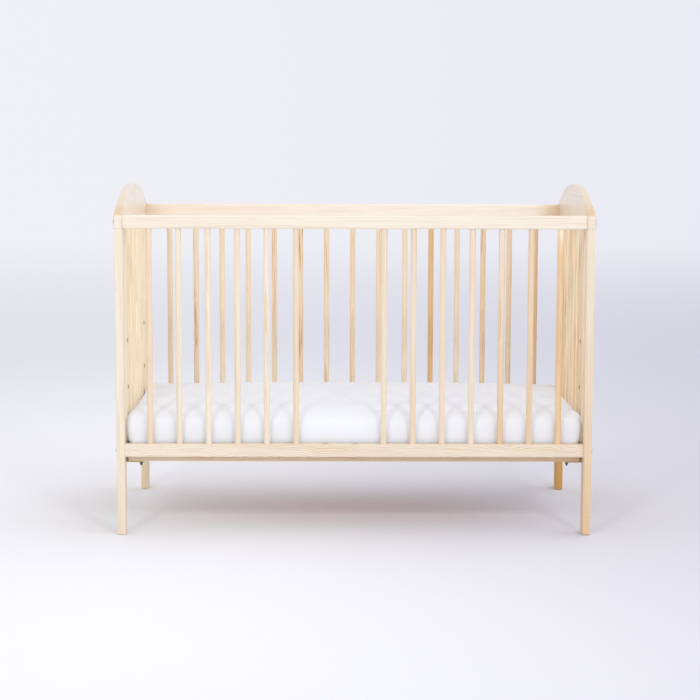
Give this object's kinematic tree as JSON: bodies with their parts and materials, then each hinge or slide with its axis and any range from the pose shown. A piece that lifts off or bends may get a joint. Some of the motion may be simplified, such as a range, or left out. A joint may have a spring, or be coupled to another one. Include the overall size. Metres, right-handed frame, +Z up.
{
  "type": "baby crib",
  "caption": "Pine baby crib with arched slatted ends, round side bars with a lift-out gap, a slatted base hung at a choice of heights, and a white foam mattress.",
  "frame": {"origin": "on the floor below the middle of the crib", "axes": "+X along the crib to the right as seen from the front, the front faces -Y, +Z up"},
  "size_m": [1.2624, 0.66, 0.9199],
  "materials": {
    "pine": "natural pine, clear satin lacquer, grain along each piece",
    "dowel_wood": "plain beech dowel",
    "bright_steel": "zinc-plated steel",
    "zinc_steel": "yellow-passivated zinc on pressed steel",
    "mattress_cover": "white cotton fitted sheet over foam"
  },
  "bodies": {
    "frame": {"back_bar_01": "pine", "back_bar_02": "pine", "back_bar_03": "pine", "back_bar_04": "pine", "back_bar_05": "pine", "back_bar_06": "pine", "back_bar_07": "pine", "back_bar_08": "pine", "back_bar_09": "pine", "back_bar_10": "pine", "back_bar_11": "pine", "back_bar_12": "pine", "back_bar_13": "pine", "back_bar_14": "pine", "back_bar_15": "pine", "barrel_nuts": "bright_steel", "bottom_rail_back": "pine", "bottom_rail_front": "pine", "corner_bolts": "bright_steel", "dowels": "dowel_wood", "end_rail_left": "pine", "end_rail_right": "pine", "end_slat_left_1": "pine", "end_slat_left_2": "pine", "end_slat_left_3": "pine", "end_slat_right_1": "pine", "end_slat_right_2": "pine", "end_slat_right_3": "pine", "front_bar_01": "pine", "front_bar_02": "pine", "front_bar_03": "pine", "front_bar_04": "pine", "front_bar_05": "pine", "front_bar_06": "pine", "front_bar_09": "pine", "front_bar_10": "pine", "front_bar_11": "pine", "front_bar_12": "pine", "front_bar_13": "pine", "front_bar_14": "pine", "front_bar_15": "pine", "head_board_left": "pine", "head_board_right": "pine", "height_inserts": "bright_steel", "hook_screws": "bright_steel", "leg_back_left": "pine", "leg_back_right": "pine", "leg_front_left": "pine", "leg_front_right": "pine", "top_rail_back": "pine", "top_rail_front": "pine"},
    "base": {"base_angle_left": "zinc_steel", "base_angle_right": "zinc_steel", "base_bolts": "zinc_steel", "base_end_rails": "pine", "base_nuts": "zinc_steel", "base_rail_back": "pine", "base_rail_front": "pine", "base_slats": "pine"},
    "mattress": {"mattress": "mattress_cover"}
  },
  "joints": [
    {"name": "base_height", "type": "slide", "parent": "frame", "child": "base", "axis": [0, 0, 1], "range_m": [0, 0.252]},
    {"name": "mattress_lift", "type": "slide", "parent": "base", "child": "mattress", "axis": [0, 0, 1], "range_m": [0, 0.7]}
  ]
}
